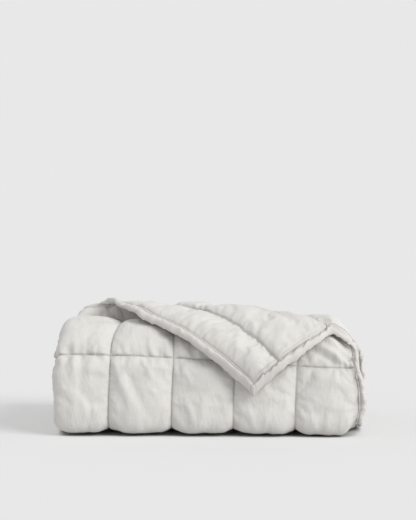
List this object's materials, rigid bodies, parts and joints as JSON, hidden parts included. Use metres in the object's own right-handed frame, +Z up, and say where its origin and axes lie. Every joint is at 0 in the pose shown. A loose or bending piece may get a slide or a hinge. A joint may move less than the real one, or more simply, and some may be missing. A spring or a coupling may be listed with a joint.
{
  "type": "folded toddler quilt",
  "caption": "Channel-quilted cotton blanket with bound edges, folded into a thick stack with one corner turned down over the front.",
  "frame": {"origin": "on the floor under the middle of the folded quilt's bounding box", "axes": "+X to the right in the front view, along the row of puffed columns; -Y is the front, where the corner hangs down; +Z up"},
  "size_m": [0.451, 0.3611, 0.1817],
  "materials": {
    "quilt_cloth": "washed plain-weave cotton, warm off-white, soft and matte, puffed between stitched lines",
    "binding_cloth": "the same cotton as a folded edge tape, lightly puckered along two rows of stitching"
  },
  "bodies": {
    "root": {"quilted_body": "quilt_cloth", "binding": "binding_cloth"}
  },
  "joints": []
}
